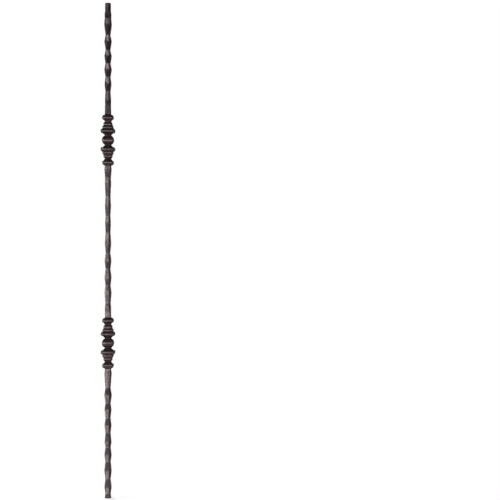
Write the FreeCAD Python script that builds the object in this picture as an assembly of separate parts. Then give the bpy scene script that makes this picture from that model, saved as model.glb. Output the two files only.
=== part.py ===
import FreeCAD, Part
import math
import os

from FreeCAD import Vector

# A stair baluster of hammered square bar with two square-turned knuckles, all in one piece.
# The origin is the middle of the foot's end face, +Z runs up the bar, and -Y is the front.

# The bar as a whole, in millimetres.
LENGTH = 1117.6
BAR_WIDTH = 14.3
SHOULDER_WIDTH = 14.0
PEG_DIAMETER = 13.2
PEG_LENGTH = 20.0
PEG_BREAK = 0.6
UPPER_KNUCKLE_HEIGHT = 808.0
LOWER_KNUCKLE_HEIGHT = 350.0
EDGE_BREAK = 0.5

# The hammered stretches. The blows fell on the front and the side faces by turns, so a ridge on
# one pair of faces lies beside a waist on the other. Each row lists waists and ridges of the side
# faces by turns, from a knuckle outwards: the step along the bar to the mark, and how much wider
# than the bar, or narrower, it is there.
MARKS_ABOVE = (
    (22.0, -1.0), (8.0, -0.3), (21.0, -2.5), (17.0, 1.5), (16.0, -2.7), (16.0, 2.8), (14.0, -2.7),
    (17.0, 2.5), (13.0, -3.6), (20.0, 2.6), (14.0, -3.4), (24.0, 3.2), (14.0, 0.5), (8.0, 0.9),
)
MARKS_BETWEEN = (
    (11.0, -0.7), (11.0, 0.2), (9.0, -2.1), (24.0, 1.6), (16.0, -2.5), (18.0, 1.7), (19.0, -3.2),
    (19.0, 1.4), (17.0, -3.9), (22.0, 0.4), (24.0, -3.2), (22.0, -1.2), (16.0, -3.2), (23.0, -0.7),
    (21.0, -2.9), (31.0, -0.1), (10.0, -1.2), (20.0, 2.2),
)
MARKS_BELOW = (
    (3.0, -0.1), (6.0, 2.6), (34.0, -2.6), (16.0, 2.9), (18.0, -2.7), (14.0, 1.6), (20.0, -2.9),
    (16.0, 1.6), (17.0, -2.5), (22.0, 1.2), (10.0, -2.6), (18.0, 2.2), (15.0, -2.2), (21.0, 2.6),
    (18.0, -2.4), (18.0, 2.3), (15.0, -1.8), (16.0, 2.0),
)
HOLLOW_SHARE = 0.2
LEAST_RUN = 5.0
SAW_ALLOWANCE = 40.0

# Long facets hammered along the corners, which run out into crisp corners at a plain end.
FACET_LEG = 2.8
FACET_RUN_OUT = 20.0

# Half a knuckle, from the middle of its ball outwards: widths across the flats, heights along
# the bar, and how far a cove is hollowed below the straight line between its ends.
BALL_WIDTH = 27.4
BALL_HALF_HEIGHT = 10.3
NECK_WIDTH = 14.1
COVE_HEIGHT = 7.1
COVE_HOLLOW = 1.2
GREAT_LIP_WIDTH = 31.0
GREAT_BEAD_WIDTH = 32.8
GREAT_BEAD_HEIGHT = 8.6
GREAT_CREASE_WIDTH = 23.8
MIDDLE_BEAD_WIDTH = 25.1
MIDDLE_BEAD_HEIGHT = 7.3
MIDDLE_CREASE_WIDTH = 19.4
SMALL_BEAD_WIDTH = 20.5
SMALL_BEAD_HEIGHT = 8.0
END_COVE_HEIGHT = 6.7
END_COVE_HOLLOW = 0.9
END_LIP_WIDTH = 25.4
END_BEAD_WIDTH = 26.2
END_BEAD_HEIGHT = 9.0
END_BEAD_FOOT_WIDTH = 16.4
FILLET_HEIGHT = 2.0
FILLET_HOLLOW = 0.45
BEAD_CROWN = 0.35

KNUCKLE_HALF_LENGTH = (
    BALL_HALF_HEIGHT + COVE_HEIGHT + GREAT_BEAD_HEIGHT + MIDDLE_BEAD_HEIGHT + SMALL_BEAD_HEIGHT
    + END_COVE_HEIGHT + END_BEAD_HEIGHT + FILLET_HEIGHT
)
CUT_DEPTH = 2 * GREAT_BEAD_WIDTH


def at(half_width, height):
    """A point of an outline, drawn in the plane of X and Z."""
    return Vector(half_width, 0, height)


def across_facets(width):
    """The width between opposite corners of a square bar whose corners are broken a little."""
    return math.sqrt(2) * (width - EDGE_BREAK)


def hollow_arc(low, high, hollow):
    """A concave arc that lies the given depth inside the straight line between its ends."""
    along = high - low
    inwards = Vector(-along.z, 0, along.x).normalize()
    if inwards.x > 0:
        inwards = -inwards
    return Part.Arc(low, (low + high) / 2 + inwards * hollow, high).toShape()


def bead_arc(inner, outer, width):
    """A convex arc over a bead, widest on the side of its lip."""
    crown = at(width / 2, inner.z + BEAD_CROWN * (outer.z - inner.z))
    return Part.Arc(inner, crown, outer).toShape()


def knuckle_side():
    """The edges of a knuckle's outline on +X, from the ball's middle to the upper bar."""
    ball = at(BALL_WIDTH / 2, 0)
    neck = at(NECK_WIDTH / 2, BALL_HALF_HEIGHT)
    lip = at(GREAT_LIP_WIDTH / 2, neck.z + COVE_HEIGHT)
    great_crease = at(GREAT_CREASE_WIDTH / 2, lip.z + GREAT_BEAD_HEIGHT)
    middle_crease = at(MIDDLE_CREASE_WIDTH / 2, great_crease.z + MIDDLE_BEAD_HEIGHT)
    end_neck = at(NECK_WIDTH / 2, middle_crease.z + SMALL_BEAD_HEIGHT)
    end_lip = at(END_LIP_WIDTH / 2, end_neck.z + END_COVE_HEIGHT)
    bead_foot = at(END_BEAD_FOOT_WIDTH / 2, end_lip.z + END_BEAD_HEIGHT)
    bar = at(BAR_WIDTH / 2, bead_foot.z + FILLET_HEIGHT)
    reach = (BALL_WIDTH - NECK_WIDTH) / 2
    ball_radius = (BALL_HALF_HEIGHT ** 2 + reach ** 2) / (2 * reach)
    turn = math.asin(min(1.0, BALL_HALF_HEIGHT / ball_radius)) / 2
    ball_middle = at(ball.x - ball_radius * (1 - math.cos(turn)), ball_radius * math.sin(turn))
    return [
        Part.Arc(ball, ball_middle, neck).toShape(),
        hollow_arc(neck, lip, COVE_HOLLOW),
        bead_arc(lip, great_crease, GREAT_BEAD_WIDTH),
        bead_arc(great_crease, middle_crease, MIDDLE_BEAD_WIDTH),
        bead_arc(middle_crease, end_neck, SMALL_BEAD_WIDTH),
        hollow_arc(end_neck, end_lip, END_COVE_HOLLOW),
        bead_arc(end_lip, bead_foot, END_BEAD_WIDTH),
        hollow_arc(bead_foot, bar, FILLET_HOLLOW),
    ]


def flanks(marks):
    """Straight flanks from mark to mark. Every second mark is rounded: there a blow on the front
    left a hollow and pushed the sides out."""
    edges = []
    here = marks[0]
    for number in range(1, len(marks) - 1):
        before, mark, after = marks[number - 1:number + 2]
        if number % 2:
            edges.append(Part.makeLine(here, mark))
            here = mark
        else:
            arrival = mark + (before - mark) * HOLLOW_SHARE
            departure = mark + (after - mark) * HOLLOW_SHARE
            middle = (arrival + departure + mark * 2) / 4
            edges.append(Part.makeLine(here, arrival))
            edges.append(Part.Arc(arrival, middle, departure).toShape())
            here = departure
    edges.append(Part.makeLine(here, marks[-1]))
    return edges


def slab(side_edges, bottom, top):
    """A plate cut to an outline that is the same on both sides, and thick along Y."""
    other_side = [edge.mirror(Vector(), Vector(1, 0, 0)) for edge in side_edges]
    caps = [Part.makeLine(at(-end.x, end.z), end) for end in (bottom, top)]
    wire = Part.Wire(Part.__sortEdges__(side_edges + other_side + caps))
    plate = Part.Face(wire).extrude(Vector(0, CUT_DEPTH, 0))
    plate.translate(Vector(0, -CUT_DEPTH / 2, 0))
    return plate


def turned(shape, angle):
    """A copy of a shape, turned about the bar's axis."""
    copy = shape.copy()
    copy.rotate(Vector(), Vector(0, 0, 1), angle)
    return copy


def crossed(side, front, corner):
    """What is left of a bar that is cut to its side, front and two corner outlines in turn."""
    flats = side.common(turned(front, 90))
    return flats.common(turned(corner, 45)).common(turned(corner, -45))


def knuckle(height):
    """A square-turned knuckle with mitred corners, which are eased in step with its width."""
    upper = knuckle_side()
    lower = [edge.mirror(Vector(), Vector(0, 0, 1)) for edge in upper]
    end = at(BAR_WIDTH / 2, KNUCKLE_HALF_LENGTH)
    flat = slab(upper + lower, at(end.x, -end.z), end)
    widen = FreeCAD.Matrix()
    widen.scale(Vector(across_facets(BAR_WIDTH) / BAR_WIDTH, 1, 1))
    solid = crossed(flat, flat, flat.transformGeometry(widen))
    solid.translate(Vector(0, 0, height))
    return solid


def side_marks(start, stop, stop_width, steps):
    """The waists and ridges of the side faces, as far as the stretch reaches."""
    way = math.copysign(1.0, stop - start)
    marks = [at(BAR_WIDTH / 2, start)]
    height = start
    for step, swell in steps:
        height += way * step
        if way * (stop - height) > LEAST_RUN:
            marks.append(at((BAR_WIDTH + swell) / 2, height))
    return marks + [at(stop_width / 2, stop)]


def front_marks(sides):
    """The same blows on the front and back: swollen where the side faces are dented, and dented
    where they are swollen."""
    inner = [
        at((before.x + after.x) / 2, mark.z)
        for before, mark, after in zip(sides, sides[1:], sides[2:])
    ]
    return [sides[0]] + inner + [sides[-1]]


def facet_mark(side, front, leg):
    """Where a corner facet lies whose legs along the side and the front have a given length."""
    return at((side.x + front.x - leg) / math.sqrt(2), side.z)


def corner_marks(sides, fronts):
    """Corner facets of one size, which run out into crisp corners at both ends."""
    ends = [facet_mark(end, end, EDGE_BREAK) for end in (sides[0], sides[-1])]
    pairs = list(zip(sides, fronts))[2:-1:2]
    inner = [
        facet_mark(side, front, FACET_LEG)
        for side, front in pairs
        if min(abs(side.z - ends[0].z), abs(side.z - ends[1].z)) > FACET_RUN_OUT
    ]
    return [ends[0]] + inner + [ends[1]]


def hammered_bar(start, stop, stop_width, steps):
    """A hammered stretch that leaves a knuckle at start and is plain again at stop."""
    sides = side_marks(start, stop, stop_width, steps)
    fronts = front_marks(sides)
    corners = corner_marks(sides, fronts)
    facets = [Part.makeLine(low, high) for low, high in zip(corners, corners[1:])]
    return crossed(
        slab(flanks(sides), sides[0], sides[-1]),
        slab(flanks(fronts), fronts[0], fronts[-1]),
        slab(facets, corners[0], corners[-1]),
    )


def peg(bottom, top):
    """The round end that goes up into the handrail, with its top edge broken."""
    rod = Part.makeCylinder(PEG_DIAMETER / 2, top - bottom, at(0, bottom))
    rim = [edge for edge in rod.Edges if edge.BoundBox.ZMin > top - PEG_BREAK]
    return rod.makeChamfer(PEG_BREAK, rim)


def baluster():
    """The stretches from foot to top, joined to one solid, with the foot sawn off square."""
    lower_start = LOWER_KNUCKLE_HEIGHT - KNUCKLE_HALF_LENGTH
    lower_end = LOWER_KNUCKLE_HEIGHT + KNUCKLE_HALF_LENGTH
    upper_start = UPPER_KNUCKLE_HEIGHT - KNUCKLE_HALF_LENGTH
    upper_end = UPPER_KNUCKLE_HEIGHT + KNUCKLE_HALF_LENGTH
    shoulder = LENGTH - PEG_LENGTH
    stretches = [
        hammered_bar(lower_start, -SAW_ALLOWANCE, BAR_WIDTH, MARKS_BELOW),
        knuckle(LOWER_KNUCKLE_HEIGHT),
        hammered_bar(lower_end, upper_start, BAR_WIDTH, MARKS_BETWEEN),
        knuckle(UPPER_KNUCKLE_HEIGHT),
        hammered_bar(upper_end, shoulder, SHOULDER_WIDTH, MARKS_ABOVE),
        peg(shoulder, LENGTH),
    ]
    whole = stretches[0].fuse(stretches[1:]).removeSplitter()
    offcut_corner = Vector(-CUT_DEPTH / 2, -CUT_DEPTH / 2, -2 * SAW_ALLOWANCE)
    offcut = Part.makeBox(CUT_DEPTH, CUT_DEPTH, 2 * SAW_ALLOWANCE, offcut_corner)
    return whole.cut(offcut).Solids[0]


os.makedirs("parts", exist_ok=True)
baluster().exportStep("parts/baluster.step")
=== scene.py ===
# %% [markdown]
# A stair baluster of hammered square iron bar with two square-turned knuckles.
# The measured solid of the part is already there: it stands upright on the origin, with its front
# towards -Y. This lesson gives it a smooth skin, a satin coat, a white studio and a camera.

# %% The measured part
import math
import bmesh
import bpy
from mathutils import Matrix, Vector


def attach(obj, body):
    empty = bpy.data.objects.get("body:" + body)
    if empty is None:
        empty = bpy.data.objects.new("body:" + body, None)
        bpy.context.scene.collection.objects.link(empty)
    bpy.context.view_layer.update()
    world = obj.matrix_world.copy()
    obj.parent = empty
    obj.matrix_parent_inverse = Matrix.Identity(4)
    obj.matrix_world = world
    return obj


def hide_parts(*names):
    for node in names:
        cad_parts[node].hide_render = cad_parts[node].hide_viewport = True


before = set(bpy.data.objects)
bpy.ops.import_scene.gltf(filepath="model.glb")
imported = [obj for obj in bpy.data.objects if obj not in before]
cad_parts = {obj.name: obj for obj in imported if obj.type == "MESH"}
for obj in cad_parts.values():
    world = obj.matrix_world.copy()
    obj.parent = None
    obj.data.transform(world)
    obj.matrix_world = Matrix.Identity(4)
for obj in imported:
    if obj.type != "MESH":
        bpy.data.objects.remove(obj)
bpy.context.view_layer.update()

# %% [markdown]
# The photograph shows the whole baluster from the front, a touch from its right, at the left of the
# picture. A long lens a few metres away keeps the tall bar straight. The camera stays level and is
# panned to the right instead of shifted, so the lens axis still runs through the picture's middle.

# %% Camera
CAMERA_DISTANCE = 3.154
CAMERA_HEIGHT = 0.560
CAMERA_YAW = math.radians(2.2)
CAMERA_PAN = math.radians(5.836)
FOCAL_LENGTH_MM = 100
SENSOR_WIDTH_MM = 36

lens = bpy.data.cameras.new("camera")
lens.lens = FOCAL_LENGTH_MM
lens.sensor_width = SENSOR_WIDTH_MM
camera = bpy.data.objects.new("camera", lens)
bpy.context.scene.collection.objects.link(camera)
camera.location = (
    CAMERA_DISTANCE * math.sin(CAMERA_YAW),
    -CAMERA_DISTANCE * math.cos(CAMERA_YAW),
    CAMERA_HEIGHT,
)
camera.rotation_euler = (math.radians(90), 0, CAMERA_YAW - CAMERA_PAN)
bpy.context.scene.camera = camera
bpy.context.scene.view_settings.view_transform = "Standard"
print("camera at", [round(v, 3) for v in camera.location])

# %% [markdown]
# The picture's ground is plain white, as if a white sweep hung behind the bar in a dim room. To the
# camera, and through glass, the world is white all round. A gloss sees the white sweep behind the
# bar and the dim room in front of it. All other rays get a plain grey fill, so the white adds no
# light to the iron.

# %% White surroundings
WHITE = (1, 1, 1, 1)
FILL_STRENGTH = 0.08
ROOM_STRENGTH = 0.04
SWEEP_STRENGTH = 0.45
SWEEP_EDGE, SWEEP_MIDDLE = 0.5, 1.0

world = bpy.data.worlds.new("studio")
bpy.context.scene.world = world
world.use_nodes = True
nodes, links = world.node_tree.nodes, world.node_tree.links
nodes.clear()
path = nodes.new("ShaderNodeLightPath")
direction = nodes.new("ShaderNodeTexCoord")
parts = nodes.new("ShaderNodeSeparateXYZ")
sweep = nodes.new("ShaderNodeMapRange")
sweep.interpolation_type = "SMOOTHSTEP"
sweep.inputs["From Min"].default_value = SWEEP_EDGE
sweep.inputs["From Max"].default_value = SWEEP_MIDDLE
sweep.inputs["To Min"].default_value = ROOM_STRENGTH
sweep.inputs["To Max"].default_value = SWEEP_STRENGTH
fill = nodes.new("ShaderNodeBackground")
fill.inputs["Color"].default_value = WHITE
fill.inputs["Strength"].default_value = FILL_STRENGTH
gloss = nodes.new("ShaderNodeBackground")
gloss.inputs["Color"].default_value = WHITE
white = nodes.new("ShaderNodeBackground")
white.inputs["Color"].default_value = WHITE
to_gloss = nodes.new("ShaderNodeMixShader")
seen = nodes.new("ShaderNodeMath")
seen.operation = "MAXIMUM"
to_camera = nodes.new("ShaderNodeMixShader")
sky = nodes.new("ShaderNodeOutputWorld")
links.new(direction.outputs["Generated"], parts.inputs[0])
links.new(parts.outputs["Y"], sweep.inputs["Value"])
links.new(sweep.outputs[0], gloss.inputs["Strength"])
links.new(path.outputs["Is Glossy Ray"], to_gloss.inputs["Fac"])
links.new(fill.outputs[0], to_gloss.inputs[1])
links.new(gloss.outputs[0], to_gloss.inputs[2])
links.new(path.outputs["Is Camera Ray"], seen.inputs[0])
links.new(path.outputs["Is Transmission Ray"], seen.inputs[1])
links.new(seen.outputs[0], to_camera.inputs["Fac"])
links.new(to_gloss.outputs[0], to_camera.inputs[1])
links.new(white.outputs[0], to_camera.inputs[2])
links.new(to_camera.outputs[0], sky.inputs["Surface"])
print("world fill", FILL_STRENGTH)

# %% [markdown]
# Underfoot lies a white floor that takes the bar's shadow. It is a round sheet that fades out
# towards its rim, so no edge or horizon shows against the white. A faint glow lifts it to the white
# of the ground, which the lamps alone would only reach with too much light on the iron.

# %% Floor
FLOOR_RADIUS = 0.6
FLOOR_FULL_RADIUS = FLOOR_RADIUS * 0.4
FLOOR_POINTS = 96
FLOOR_COLOUR = (0.8, 0.8, 0.8, 1)
FLOOR_GLOW = 0.5

bpy.ops.object.select_all(action="DESELECT")
bpy.ops.mesh.primitive_circle_add(
    vertices=FLOOR_POINTS, radius=FLOOR_RADIUS, fill_type="NGON", location=(0, 0, 0)
)
floor = bpy.context.object
floor.name = "floor"
paper = bpy.data.materials.new("white_floor")
paper.use_nodes = True
nodes, links = paper.node_tree.nodes, paper.node_tree.links
nodes.clear()
place = nodes.new("ShaderNodeTexCoord")
reach = nodes.new("ShaderNodeVectorMath")
reach.operation = "LENGTH"
fade = nodes.new("ShaderNodeMapRange")
fade.interpolation_type = "SMOOTHSTEP"
fade.inputs["From Min"].default_value = FLOOR_RADIUS
fade.inputs["From Max"].default_value = FLOOR_FULL_RADIUS
matt = nodes.new("ShaderNodeBsdfDiffuse")
matt.inputs["Color"].default_value = FLOOR_COLOUR
glow = nodes.new("ShaderNodeEmission")
glow.inputs["Strength"].default_value = FLOOR_GLOW
sheet = nodes.new("ShaderNodeAddShader")
clear = nodes.new("ShaderNodeBsdfTransparent")
blend = nodes.new("ShaderNodeMixShader")
out = nodes.new("ShaderNodeOutputMaterial")
links.new(place.outputs["Object"], reach.inputs[0])
links.new(reach.outputs["Value"], fade.inputs["Value"])
links.new(matt.outputs[0], sheet.inputs[0])
links.new(glow.outputs[0], sheet.inputs[1])
links.new(fade.outputs[0], blend.inputs["Fac"])
links.new(clear.outputs[0], blend.inputs[1])
links.new(sheet.outputs[0], blend.inputs[2])
links.new(blend.outputs[0], out.inputs["Surface"])
floor.data.materials.append(paper)
print("floor radius", FLOOR_RADIUS)

# %% [markdown]
# The bright patches in the photograph lie on faces that tip towards the middle of the bar or a bit
# lower. So the main lamp stands below half the bar's height, in front and a little to the left. A
# soft box at the left draws a line along the corner facets, and a small lamp high at the left
# models the round peg. A broad dim one at the right and one high behind keep the far sides from
# going black. All of them are turned to the middle of the bar.

# %% Lamps
MIDDLE = Vector((0, 0, 0.56))


def soft_lamp(name, place, width, height, watts):
    """A rectangular soft box at a place, turned towards the middle of the bar."""
    data = bpy.data.lights.new(name, "AREA")
    data.shape = "RECTANGLE"
    data.size = width
    data.size_y = height
    data.energy = watts
    lamp = bpy.data.objects.new(name, data)
    bpy.context.scene.collection.objects.link(lamp)
    lamp.location = place
    lamp.visible_camera = False
    lamp.rotation_euler = (MIDDLE - Vector(place)).to_track_quat("-Z", "Y").to_euler()
    print(name, watts, "W")


soft_lamp("front_lamp", (-0.7, -2.82, 0.25), width=0.6, height=0.35, watts=72)
soft_lamp("left_lamp", (-1.6, -0.25, 0.3), width=0.8, height=0.5, watts=24)
soft_lamp("high_lamp", (-1.6, -1.2, 1.75), width=0.6, height=0.6, watts=9)
soft_lamp("right_lamp", (1.7, 0.45, 0.6), width=1.6, height=1.0, watts=12)
soft_lamp("back_lamp", (-0.7, 1.4, 2.6), width=1.0, height=1.0, watts=26)

# %% [markdown]
# The bar is built up from rings that lie level, one above the other. A few helpers open a piece and
# pick out rings by their height, in place of clicking on them.

# %% Opening a piece and picking rings
MM = 0.001
NEAR = 1e-6


def take(piece):
    """Selects one piece alone and makes it the active one."""
    bpy.ops.object.select_all(action="DESELECT")
    piece.select_set(True)
    bpy.context.view_layer.objects.active = piece


def open_piece(piece):
    """Opens one piece alone in edit mode."""
    take(piece)
    bpy.ops.object.mode_set(mode="EDIT")
    bpy.ops.mesh.select_mode(type="VERT")


def new_piece(name):
    """An empty mesh object at the origin, open in edit mode."""
    piece = bpy.data.objects.new(name, bpy.data.meshes.new(name))
    bpy.context.scene.collection.objects.link(piece)
    open_piece(piece)
    return piece


def pick_level(height):
    """Selects the points of the open mesh that lie at a height."""
    bpy.ops.mesh.select_mode(type="VERT")
    bpy.ops.mesh.select_all(action="DESELECT")
    mesh = bmesh.from_edit_mesh(bpy.context.object.data)
    for point in mesh.verts:
        if abs(point.co.z - height) < NEAR:
            point.select_set(True)
    mesh.select_flush(True)
    bmesh.update_edit_mesh(bpy.context.object.data)


def pick_edges(test):
    """Selects the edges of the open mesh whose two ends pass a test."""
    bpy.ops.mesh.select_mode(type="EDGE")
    bpy.ops.mesh.select_all(action="DESELECT")
    mesh = bmesh.from_edit_mesh(bpy.context.object.data)
    for edge in mesh.edges:
        edge.select_set(bool(test(edge.verts[0].co, edge.verts[1].co)))
    bmesh.update_edit_mesh(bpy.context.object.data)


def pick_rings(heights, reach=NEAR):
    """Selects the edges of the rings that lie at one of several heights."""
    pick_edges(
        lambda a, b: abs(a.z - b.z) < NEAR
        and any(abs(a.z - height) < reach for height in heights)
    )


print("points are level within", NEAR, "m")

# %% [markdown]
# Every cross section of the bar is the same square with broken corners, only wider or narrower, so
# one ring is drawn once and used everywhere. A square is drawn, its corners are bevelled once for
# the facet and once more to soften the facet's edges, and each flat is divided into six. Neither
# the hammer nor the thick coat leaves a flat quite flat, so the ring is drawn a little way towards
# a circle, which crowns its flats, and is brought back to its width.
# All rings then have the same number of points and can be joined without a seam.

# %% The ring
BAR_SIZE = 14.3
BAR_WIDTH = BAR_SIZE * MM
CRISP_LEG = 0.5 * MM
CRISP_EASE = 0.18 * MM
CRISP_CROWN = 0.03
FLAT_CUTS = 5


def scale_ring(across, deep):
    """Scales the selected ring about the bar's axis, across and from front to back."""
    bpy.ops.transform.resize(value=(across, deep, 1), center_override=(0, 0, 0))


def round_ring(share, width):
    """Draws the selected ring some way towards a circle, and brings it back to a width."""
    bpy.ops.transform.tosphere(value=share)
    mesh = bmesh.from_edit_mesh(bpy.context.object.data)
    back = width / 2 / max(point.co.x for point in mesh.verts if point.select)
    scale_ring(back, back)


def draw_ring(width, height, leg=CRISP_LEG, ease=CRISP_EASE, crown=CRISP_CROWN):
    """Adds a ring of the bar's section to the open mesh."""
    bpy.ops.mesh.primitive_plane_add(size=width, location=(0, 0, height))
    bpy.ops.mesh.bevel(offset=leg, affect="VERTICES", segments=1)
    bpy.ops.mesh.bevel(offset=ease, affect="VERTICES", segments=1)
    pick_level(height)
    bpy.ops.mesh.delete(type="ONLY_FACE")
    pick_edges(
        lambda a, b: abs(a.z - height) < NEAR
        and abs(b.z - height) < NEAR
        and (abs(a.x - b.x) < NEAR or abs(a.y - b.y) < NEAR)
    )
    bpy.ops.mesh.subdivide(number_cuts=FLAT_CUTS)
    pick_level(height)
    round_ring(crown, width)


print("crisp ring:", BAR_WIDTH, "m wide,", CRISP_LEG, "m off its corners")

# %% [markdown]
# A knuckle is the same above and below its ball, so half of it is drawn and mirrored. Its outline
# is a chain of arcs: half the ball, a cove, three beads, a cove, the end bead and a fillet into the
# bar. Each arc goes through three points, so it is enough to know the widths at the creases, lips
# and crowns, and the heights between them.

# %% Arcs
BEAD_CROWN = 0.35


def arc_through(start, middle, end, count):
    """Points on the circle through three points, from after the start up to the end."""
    ax, ay = start
    bx, by = middle
    cx, cy = end
    d = 2 * (ax * (by - cy) + bx * (cy - ay) + cx * (ay - by))
    a2, b2, c2 = ax * ax + ay * ay, bx * bx + by * by, cx * cx + cy * cy
    ux = (a2 * (by - cy) + b2 * (cy - ay) + c2 * (ay - by)) / d
    uy = (a2 * (cx - bx) + b2 * (ax - cx) + c2 * (bx - ax)) / d
    radius = math.hypot(ax - ux, ay - uy)
    first = math.atan2(ay - uy, ax - ux)
    through = (math.atan2(by - uy, bx - ux) - first) % math.tau
    last = (math.atan2(cy - uy, cx - ux) - first) % math.tau
    if through > last:
        last -= math.tau
    turns = [first + last * i / count for i in range(1, count + 1)]
    return [(ux + radius * math.cos(t), uy + radius * math.sin(t)) for t in turns]


def hollow(start, end, depth, count):
    """A cove: an arc that lies a little inside the straight line between its ends."""
    along = Vector(end) - Vector(start)
    inwards = Vector((-along.y, along.x)).normalized()
    if inwards.x > 0:
        inwards.negate()
    middle = (Vector(start) + Vector(end)) / 2 + inwards * depth
    return arc_through(start, tuple(middle), end, count)


def bead(start, end, width, count):
    """A bead: an arc over a crown that lies nearer to its lip."""
    crown = (width / 2, start[1] + BEAD_CROWN * (end[1] - start[1]))
    return arc_through(start, crown, end, count)


half_way = arc_through((1, 0), (0.6, 0.8), (0, 1), count=2)[0]
print("half way round a quarter circle:", [round(v, 3) for v in half_way])

# %% The knuckle's sizes in millimetres
NECK_WIDTH = 14.1
BALL_WIDTH, BALL_HALF_HEIGHT = 27.4, 10.3
COVE_HEIGHT, COVE_DEPTH, LIP_WIDTH = 7.1, 1.2, 31.0
GREAT_BEAD_HEIGHT, GREAT_BEAD_WIDTH, GREAT_CREASE_WIDTH = 8.6, 32.8, 23.8
MIDDLE_BEAD_HEIGHT, MIDDLE_BEAD_WIDTH, MIDDLE_CREASE_WIDTH = 7.3, 25.1, 19.4
SMALL_BEAD_HEIGHT, SMALL_BEAD_WIDTH = 8.0, 20.5
END_COVE_HEIGHT, END_COVE_DEPTH, END_LIP_WIDTH = 6.7, 0.9, 25.4
END_BEAD_HEIGHT, END_BEAD_WIDTH, BEAD_FOOT_WIDTH = 9.0, 26.2, 16.4
FILLET_HEIGHT, FILLET_DEPTH = 2.0, 0.45

ball = (BALL_WIDTH / 2, 0.0)
neck = (NECK_WIDTH / 2, BALL_HALF_HEIGHT)
lip = (LIP_WIDTH / 2, neck[1] + COVE_HEIGHT)
great_crease = (GREAT_CREASE_WIDTH / 2, lip[1] + GREAT_BEAD_HEIGHT)
middle_crease = (MIDDLE_CREASE_WIDTH / 2, great_crease[1] + MIDDLE_BEAD_HEIGHT)
end_neck = (NECK_WIDTH / 2, middle_crease[1] + SMALL_BEAD_HEIGHT)
end_lip = (END_LIP_WIDTH / 2, end_neck[1] + END_COVE_HEIGHT)
bead_foot = (BEAD_FOOT_WIDTH / 2, end_lip[1] + END_BEAD_HEIGHT)
bar = (BAR_SIZE / 2, bead_foot[1] + FILLET_HEIGHT)
KNUCKLE_HALF = bar[1] * MM
print("half a knuckle:", round(KNUCKLE_HALF, 4), "m high")

# %% The knuckle's outline
rise = (BALL_WIDTH - NECK_WIDTH) / 2
ball_radius = (BALL_HALF_HEIGHT ** 2 + rise ** 2) / (2 * rise)
half_turn = math.asin(BALL_HALF_HEIGHT / ball_radius) / 2
ball_side = (
    ball[0] - ball_radius * (1 - math.cos(half_turn)),
    ball_radius * math.sin(half_turn),
)
outline = arc_through(ball, ball_side, neck, count=12)
outline += hollow(neck, lip, COVE_DEPTH, count=7)
outline += bead(lip, great_crease, GREAT_BEAD_WIDTH, count=12)
outline += bead(great_crease, middle_crease, MIDDLE_BEAD_WIDTH, count=9)
outline += bead(middle_crease, end_neck, SMALL_BEAD_WIDTH, count=9)
outline += hollow(end_neck, end_lip, END_COVE_DEPTH, count=6)
outline += bead(end_lip, bead_foot, END_BEAD_WIDTH, count=12)
outline += hollow(bead_foot, bar, FILLET_DEPTH, count=4)
print("outline of half a knuckle:", len(outline), "points")

# %% [markdown]
# A lathe, or Blender's spin, would make the knuckle round, but it is square in plan. So the ring
# starts at the ball's middle and is extruded and scaled from point to point along the outline, as a
# turner follows a template, and the corners meet in mitres by themselves.

# %% Half a knuckle, ring by ring
def extrude_ring(step):
    """Extrudes the selected ring straight up."""
    bpy.ops.mesh.extrude_region_move(TRANSFORM_OT_translate={"value": (0, 0, step)})


knuckle = new_piece("knuckle")
draw_ring(BAR_WIDTH, 0)
pick_level(0)
grow = ball[0] / (BAR_SIZE / 2)
scale_ring(grow, grow)
here = ball
for point in outline:
    extrude_ring((point[1] - here[1]) * MM)
    grow = point[0] / here[0]
    scale_ring(grow, grow)
    here = point
print("half knuckle:", len(bmesh.from_edit_mesh(knuckle.data).verts), "points")

# %% [markdown]
# The thick coat has pooled in the creases and rounded the lips a little, which is what draws the
# thin light lines between the beads. The rings at the creases and lips are bevelled for that.

# %% Pooled creases and eased lips
CREASE_EASE = 0.4 * MM
LIP_EASE = 0.35 * MM
EASE_SEGMENTS = 3
RING_REACH = 2e-5

creases = (neck, great_crease, middle_crease, end_neck)
lips = (lip, end_lip)
for places, ease in ((creases, CREASE_EASE), (lips, LIP_EASE)):
    pick_rings([place[1] * MM for place in places], RING_REACH)
    bpy.ops.mesh.bevel(
        offset=ease, segments=EASE_SEGMENTS, profile=0.5, affect="EDGES", clamp_overlap=True
    )
bpy.ops.object.mode_set(mode="OBJECT")
print("half knuckle with eased creases:", len(knuckle.data.vertices), "points")

# %% [markdown]
# The other half is the same upside down, so a mirror makes it, and both knuckles of the bar are
# alike, so the whole is copied. Each copy is moved to its height inside its own mesh, which leaves
# the object at the origin.

# %% The whole knuckle, twice
LOWER_KNUCKLE = 350.0 * MM
UPPER_KNUCKLE = 808.0 * MM
MIRROR_MERGE = 1e-5

mirror = knuckle.modifiers.new("mirror", "MIRROR")
mirror.use_axis = (False, False, True)
mirror.merge_threshold = MIRROR_MERGE
bpy.ops.object.modifier_apply(modifier=mirror.name)
bpy.ops.object.duplicate()
upper = bpy.context.object
upper.name = "upper_knuckle"
knuckle.name = "lower_knuckle"
for piece, height in ((knuckle, LOWER_KNUCKLE), (upper, UPPER_KNUCKLE)):
    take(piece)
    piece.location.z = height
    bpy.ops.object.transform_apply(location=True, rotation=False, scale=False)
print("knuckles:", len(upper.data.vertices), "points each")

# %% [markdown]
# On the hammered stretches the blows fell on the front and on the sides by turns, so where the
# front is hollowed the sides swell, and the other way round. A noise on a plain bar would make
# lumps without that order, so a ring is drawn at every waist and ridge that the photograph shows on
# the sides. Its depth from front to back is the mean of its neighbours' widths, except close to a
# knuckle, where no blow fell on the front. Its corners have the facets that the smith beat along
# the bar, broad on the ridges and narrow at the waists.

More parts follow.
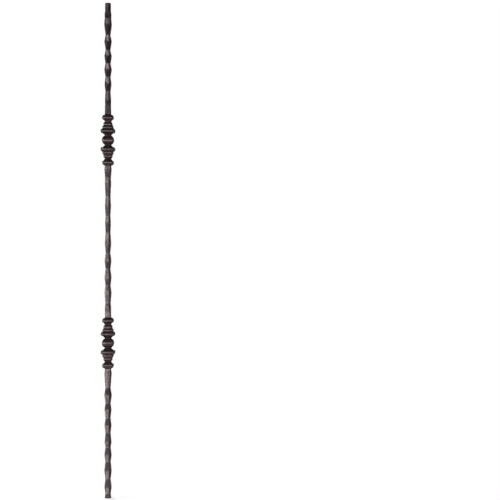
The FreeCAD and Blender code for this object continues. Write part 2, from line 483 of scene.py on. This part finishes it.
# %% Waists and ridges
RUN_OUT = 20.0 * MM
WAIST_LEG = 1.8 * MM
RIDGE_LEG = 3.8 * MM
FACET_EASE = 0.5 * MM
HAMMERED_CROWN = 0.12


def all_marks(start, stop, stop_width, steps):
    """Heights and widths of a stretch's waists and ridges by turns, with its two ends."""
    way = math.copysign(MM, stop - start)
    marks = [(start, BAR_WIDTH)]
    for step, swell in steps:
        marks.append((marks[-1][0] + way * step, BAR_WIDTH + swell * MM))
    return marks + [(stop, stop_width)]


def draw_mark(mark, depth, from_end, full_leg):
    """Adds the ring of a waist or ridge, whose facets run out towards the ends of the stretch."""
    height, width = mark
    share = min(1, from_end / RUN_OUT)
    leg = CRISP_LEG + share * (full_leg - CRISP_LEG)
    ease = CRISP_EASE + share * (FACET_EASE - CRISP_EASE)
    crown = CRISP_CROWN + share * (HAMMERED_CROWN - CRISP_CROWN)
    square = (width + depth) / 2
    draw_ring(square, height, leg, ease, crown)
    pick_level(height)
    scale_ring(width / square, depth / square)


def draw_marks(marks):
    """Adds all rings of a stretch that starts at a knuckle, from its first end to its last."""
    start, stop = marks[0][0], marks[-1][0]
    draw_ring(BAR_WIDTH, start)
    for turn, (before, mark, after) in enumerate(zip(marks, marks[1:], marks[2:])):
        from_start = abs(mark[0] - start)
        share = min(1, from_start / RUN_OUT)
        depth = BAR_WIDTH + share * ((before[1] + after[1]) / 2 - BAR_WIDTH)
        from_end = min(from_start, abs(mark[0] - stop))
        draw_mark(mark, depth, from_end, (WAIST_LEG, RIDGE_LEG)[turn % 2])
    draw_ring(marks[-1][1], stop)


print("facets:", round(WAIST_LEG, 4), "m at a waist,", round(RIDGE_LEG, 4), "m on a ridge")

# %% [markdown]
# Bridging the rings gives straight flanks. The rings at the ridges are bevelled, which rounds each
# ridge and leaves a hollow between two of them as the hammer's face does, and cuts in the flanks
# leave points for the unevenness.

# %% A stretch of hammered bar
RIDGE_SHARE = 0.2
RIDGE_SEGMENTS = 4
RING_STEP = 1.5 * MM


def bridge_rings(heights):
    """Joins each ring to the next one with a wall."""
    for low, high in zip(heights, heights[1:]):
        pick_rings((low, high))
        bpy.ops.mesh.bridge_edge_loops(type="SINGLE", number_cuts=0)


def round_ridges(ridges):
    """Bevels the rings at the ridges by a share of the flanks beside them."""
    pick_rings(ridges)
    bpy.ops.mesh.bevel(
        offset_type="PERCENT",
        offset_pct=100 * RIDGE_SHARE,
        segments=RIDGE_SEGMENTS,
        profile=0.5,
        affect="EDGES",
    )


def cut_flanks(heights, ridges):
    """Divides the straight part of each flank into short steps."""
    for a, b in zip(heights, heights[1:]):
        ends = (
            a + RIDGE_SHARE * (b - a) * (a in ridges),
            b + RIDGE_SHARE * (a - b) * (b in ridges),
        )
        low, high = min(ends), max(ends)
        pick_edges(
            lambda p, q: abs(min(p.z, q.z) - low) < RING_REACH
            and abs(max(p.z, q.z) - high) < RING_REACH
        )
        bpy.ops.mesh.subdivide(number_cuts=max(1, round((high - low) / RING_STEP) - 1))


def hammered(name, start, stop, stop_width, steps):
    """A stretch of bar from the end of a knuckle to a plain end."""
    piece = new_piece(name)
    marks = all_marks(start, stop, stop_width, steps)
    draw_marks(marks)
    heights = [mark[0] for mark in marks]
    ridges = heights[2:-1:2]
    bridge_rings(heights)
    round_ridges(ridges)
    cut_flanks(heights, ridges)
    bpy.ops.object.mode_set(mode="OBJECT")
    print(name, len(piece.data.vertices), "points,", len(ridges), "ridges on each side")
    return piece


print("a ring about every", RING_STEP, "m")

# %% [markdown]
# Each stretch has its own marks, read off the sides of the bar from the knuckle outwards: how many
# millimetres on from the last mark, and how much wider or narrower than the plain bar.

# %% The three stretches
LENGTH = 1117.6 * MM
SHOULDER = LENGTH - 20.0 * MM
SHOULDER_WIDTH = 14.0 * MM
SAW_ALLOWANCE = 40.0 * MM
MARKS_ABOVE = (
    (22, -1.0), (8, -0.3), (21, -2.5), (17, 1.5), (16, -2.7), (16, 2.8), (14, -2.7), (17, 2.5),
    (13, -3.6), (20, 2.6), (14, -3.4), (24, 3.2), (14, 0.5), (8, 0.9),
)
MARKS_BETWEEN = (
    (11, -0.7), (11, 0.2), (9, -2.1), (24, 1.6), (16, -2.5), (18, 1.7), (19, -3.2), (19, 1.4),
    (17, -3.9), (22, 0.4), (24, -3.2), (22, -1.2), (16, -3.2), (23, -0.7), (21, -2.9), (31, -0.1),
    (10, -1.2), (20, 2.2),
)
MARKS_BELOW = (
    (3, -0.1), (6, 2.6), (34, -2.6), (16, 2.9), (18, -2.7), (14, 1.6), (20, -2.9), (16, 1.6),
    (17, -2.5), (22, 1.2), (10, -2.6), (18, 2.2), (15, -2.2), (21, 2.6), (18, -2.4), (18, 2.3),
    (15, -1.8), (16, 2.0),
)
above = UPPER_KNUCKLE + KNUCKLE_HALF
below = LOWER_KNUCKLE - KNUCKLE_HALF
between = (LOWER_KNUCKLE + KNUCKLE_HALF, UPPER_KNUCKLE - KNUCKLE_HALF)

top_bar = hammered("top_bar", above, SHOULDER, SHOULDER_WIDTH, MARKS_ABOVE)
middle_bar = hammered("middle_bar", *between, BAR_WIDTH, MARKS_BETWEEN)
foot_bar = hammered("foot_bar", below, -SAW_ALLOWANCE, BAR_WIDTH, MARKS_BELOW)

# %% [markdown]
# The top ends in a round peg for the hole in the handrail, turned down from the square bar. A
# cylinder set on the bar would leave a seam, so the last ring is extruded in place, drawn all the
# way to a circle, which leaves the square shoulder round it, drawn up to the peg's length, stepped
# in for a broken edge, and filled.

# %% Round peg
PEG_DIAMETER = 13.2 * MM
PEG_BREAK = 0.6 * MM

open_piece(top_bar)
pick_level(SHOULDER)
extrude_ring(0)
round_ring(1, PEG_DIAMETER)
extrude_ring(LENGTH - SHOULDER - PEG_BREAK)
extrude_ring(PEG_BREAK)
inset = 1 - 2 * PEG_BREAK / PEG_DIAMETER
scale_ring(inset, inset)
bpy.ops.mesh.edge_face_add()
bpy.ops.object.mode_set(mode="OBJECT")
print("top at", round(max(v.co.z for v in top_bar.data.vertices), 4), "m")

# %% [markdown]
# The foot was sawn from a longer bar, so it is cut off level with the floor and its sawn face is
# closed.

# %% Sawn foot
open_piece(foot_bar)
bpy.ops.mesh.select_all(action="SELECT")
bpy.ops.mesh.bisect(
    plane_co=(0, 0, 0), plane_no=(0, 0, 1), use_fill=True, clear_inner=True, threshold=NEAR
)
bpy.ops.object.mode_set(mode="OBJECT")
print("foot at", min(v.co.z for v in foot_bar.data.vertices), "m")

# %% [markdown]
# The stretches meet ring on ring, so joining them and merging the doubled points makes one closed
# skin, as the real bar is one piece under one coat.

# %% One skin
MERGE_DISTANCE = 2e-5

bpy.ops.object.select_all(action="DESELECT")
for piece in (knuckle, upper, top_bar, foot_bar, middle_bar):
    piece.select_set(True)
bpy.context.view_layer.objects.active = middle_bar
bpy.ops.object.join()
skin = bpy.context.object
skin.name = "baluster_skin"
bpy.ops.object.mode_set(mode="EDIT")
bpy.ops.mesh.select_all(action="SELECT")
bpy.ops.mesh.remove_doubles(threshold=MERGE_DISTANCE)
bpy.ops.mesh.normals_make_consistent(inside=False)
mesh = bmesh.from_edit_mesh(skin.data)
open_edges = sum(len(edge.link_faces) != 2 for edge in mesh.edges)
bpy.ops.object.mode_set(mode="OBJECT")
print("skin:", len(skin.data.polygons), "faces,", open_edges, "open edges")

# %% [markdown]
# Forged iron is never quite flat: two weak displacements, a broad and a fine one, take the
# straightness off. Shading is smooth, and only edges sharper than a set angle stay hard.

# %% Unevenness of the forged surface
LUMPS = (("broad", 16 * MM, 0.5 * MM), ("fine", 5 * MM, 0.12 * MM))
HARD_EDGE = math.radians(35)

for name, size, strength in LUMPS:
    texture = bpy.data.textures.new(name, "CLOUDS")
    texture.noise_scale = size
    texture.noise_depth = 1
    uneven = skin.modifiers.new(name, "DISPLACE")
    uneven.texture = texture
    uneven.texture_coords = "LOCAL"
    uneven.strength = strength
    uneven.mid_level = 0.5
    bpy.ops.object.modifier_apply(modifier=uneven.name)
bpy.ops.object.shade_smooth_by_angle(angle=HARD_EDGE)
print("skin reaches", [round(v, 4) for v in skin.dimensions])

# %% [markdown]
# Handling rubs the coat on ridges and corners. Blender's dirty vertex colours measure how far each
# point stands out or lies in, which is just that, so they are written into an attribute of the skin
# that the coat reads. The attribute stays with the mesh.

# %% Where the skin stands out
STANDING_OUT = "standing_out"

bpy.ops.geometry.color_attribute_add(
    name=STANDING_OUT, domain="POINT", data_type="FLOAT_COLOR", color=WHITE
)
bpy.ops.object.mode_set(mode="VERTEX_PAINT")
bpy.ops.paint.vertex_color_dirt(
    blur_strength=0.6, blur_iterations=1, clean_angle=math.pi, dirt_angle=0
)
bpy.ops.object.mode_set(mode="OBJECT")
levels = sorted(value.color[0] for value in skin.data.color_attributes[STANDING_OUT].data)
print("standing out:", round(levels[0], 3), "to", round(levels[-1], 3))

# %% [markdown]
# The coat is a dark satin powder coat, charcoal with a warm purple cast. A plain colour would look
# like plastic, so its patterns come from nodes. The helpers here each place one kind of node, and
# all patterns lie on the object's own coordinates.

# %% Coat and its nodes
SHEEN = 0.52
SHEEN_TINT = (1.0, 0.815, 0.83, 1)

coat = bpy.data.materials.new("satin_coat")
coat.use_nodes = True
nodes, links = coat.node_tree.nodes, coat.node_tree.links
shader = nodes["Principled BSDF"]
shader.inputs["Specular IOR Level"].default_value = SHEEN
shader.inputs["Specular Tint"].default_value = SHEEN_TINT
place = nodes.new("ShaderNodeTexCoord")


def noise(size, detail, rough, distortion=0.0, drawn_out=None):
    """A noise with lumps of a given size in metres, which may be drawn out along the bar."""
    node = nodes.new("ShaderNodeTexNoise")
    node.inputs["Scale"].default_value = 1 / size
    node.inputs["Detail"].default_value = detail
    node.inputs["Roughness"].default_value = rough
    node.inputs["Distortion"].default_value = distortion
    spot = place.outputs["Object"]
    if drawn_out:
        mapping = nodes.new("ShaderNodeMapping")
        mapping.inputs["Scale"].default_value = (1, 1, 1 / drawn_out)
        links.new(spot, mapping.inputs["Vector"])
        spot = mapping.outputs["Vector"]
    links.new(spot, node.inputs["Vector"])
    return node.outputs["Fac"]


def ramp(value, low, high, to_low=0.0, to_high=1.0):
    """Stretches a part of a value's range to another range."""
    node = nodes.new("ShaderNodeMapRange")
    node.interpolation_type = "SMOOTHSTEP"
    node.inputs["From Min"].default_value = low
    node.inputs["From Max"].default_value = high
    node.inputs["To Min"].default_value = to_low
    node.inputs["To Max"].default_value = to_high
    links.new(value, node.inputs["Value"])
    return node.outputs["Result"]


def combine(operation, first, second):
    """Adds, multiplies or otherwise combines two values."""
    node = nodes.new("ShaderNodeMath")
    node.operation = operation
    for socket, value in zip(node.inputs, (first, second)):
        if isinstance(value, float):
            socket.default_value = value
        else:
            links.new(value, socket)
    return node.outputs[0]


def mixed(first, second, share):
    """Mixes two values, with a share for the first and the rest for the second."""
    return combine(
        "ADD", combine("MULTIPLY", first, share), combine("MULTIPLY", second, 1 - share)
    )


def tint(mask, under, over):
    """Lays a colour over another where a mask says so."""
    node = nodes.new("ShaderNodeMix")
    node.data_type = "RGBA"
    links.new(mask, node.inputs[0])
    for socket, colour in ((node.inputs[6], under), (node.inputs[7], over)):
        if isinstance(colour, tuple):
            socket.default_value = (*colour, 1)
        else:
            links.new(colour, socket)
    return node.outputs[2]


print("coat sheen", SHEEN)

# %% [markdown]
# Close to, the sheen is mottled: the skin of the forged iron shows through the coat as shallow pits
# and wrinkles of one or two millimetres, and the coat itself has a fine orange peel. Three noises
# make the broad clouds of tone, the mottling and the grain. A fourth, drawn out along the bar by a
# Mapping node, makes the streaks that rolling left in the iron. Two masks say where the coat is
# rubbed, which is where it stands out, and where fine dust lies, which is on what faces up.

# %% Patterns of the coat
RUBBED_FROM, RUBBED_FULL = 0.06, 0.16
UPWARDS_FROM, UPWARDS_FULL = 0.2, 0.8
DUST_FROM, DUST_FULL = 0.56, 0.68

clouds = noise(18 * MM, detail=2, rough=0.5)
mottle = noise(2.2 * MM, detail=4, rough=0.6, distortion=0.6)
grain = noise(0.7 * MM, detail=2, rough=0.5)
streaks = noise(1.8 * MM, detail=3, rough=0.55, distortion=0.2, drawn_out=9)
marbling = mixed(mottle, streaks, share=0.5)
standing = nodes.new("ShaderNodeAttribute")
standing.attribute_name = STANDING_OUT
rubbed = ramp(standing.outputs["Fac"], RUBBED_FROM, RUBBED_FULL)
facing = nodes.new("ShaderNodeSeparateXYZ")
links.new(place.outputs["Normal"], facing.inputs[0])
upwards = ramp(facing.outputs["Z"], UPWARDS_FROM, UPWARDS_FULL)
dust = combine("MULTIPLY", upwards, ramp(grain, DUST_FROM, DUST_FULL))
print("nodes for the patterns:", len(nodes))

# %% [markdown]
# The tone drifts between two dark shades. Rubbed ridges are a little lighter, broken up by the
# mottling, and the dust is laid over both, half covering.

# %% Tones of the coat
DARK = (0.0078, 0.0038, 0.0044)
MIDDLE_TONE = (0.0195, 0.0100, 0.0113)
RUBBED = (0.045, 0.032, 0.033)
DUST = (0.10, 0.088, 0.085)
TONE_LOW, TONE_HIGH = 0.38, 0.62
WORN_FROM, WORN_FULL = 0.3, 0.6
DUST_COVER = 0.5

tone = mixed(clouds, marbling, share=0.5)
colour = tint(ramp(tone, TONE_LOW, TONE_HIGH), DARK, MIDDLE_TONE)
worn = combine("MULTIPLY", rubbed, ramp(mottle, WORN_FROM, WORN_FULL))
colour = tint(worn, colour, RUBBED)
colour = tint(combine("MULTIPLY", dust, DUST_COVER), colour, DUST)
links.new(colour, shader.inputs["Base Color"])
print("nodes with the tones:", len(nodes))

# %% [markdown]
# The same marbling makes the satin rougher and smoother from place to place. A bump of a fraction
# of a millimetre gives the pits and the orange peel, which are too fine for the mesh.

# %% Satin and fine relief
DULL, SHINY = 0.46, 0.31
SATIN_LOW, SATIN_HIGH = 0.35, 0.65
GRAIN_RELIEF = 0.2
RELIEF_STRENGTH = 0.4
RELIEF_DEPTH = 0.15 * MM

satin = ramp(mixed(marbling, grain, share=0.7), SATIN_LOW, SATIN_HIGH, DULL, SHINY)
links.new(satin, shader.inputs["Roughness"])
relief = combine("ADD", marbling, combine("MULTIPLY", grain, GRAIN_RELIEF))
bump = nodes.new("ShaderNodeBump")
bump.inputs["Strength"].default_value = RELIEF_STRENGTH
bump.inputs["Distance"].default_value = RELIEF_DEPTH
links.new(relief, bump.inputs["Height"])
links.new(bump.outputs["Normal"], shader.inputs["Normal"])
skin.data.materials.clear()
skin.data.materials.append(coat)
print("coat nodes:", len(nodes))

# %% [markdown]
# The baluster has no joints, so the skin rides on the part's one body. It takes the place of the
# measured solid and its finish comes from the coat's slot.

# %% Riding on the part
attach(skin, "root")
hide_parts("baluster")
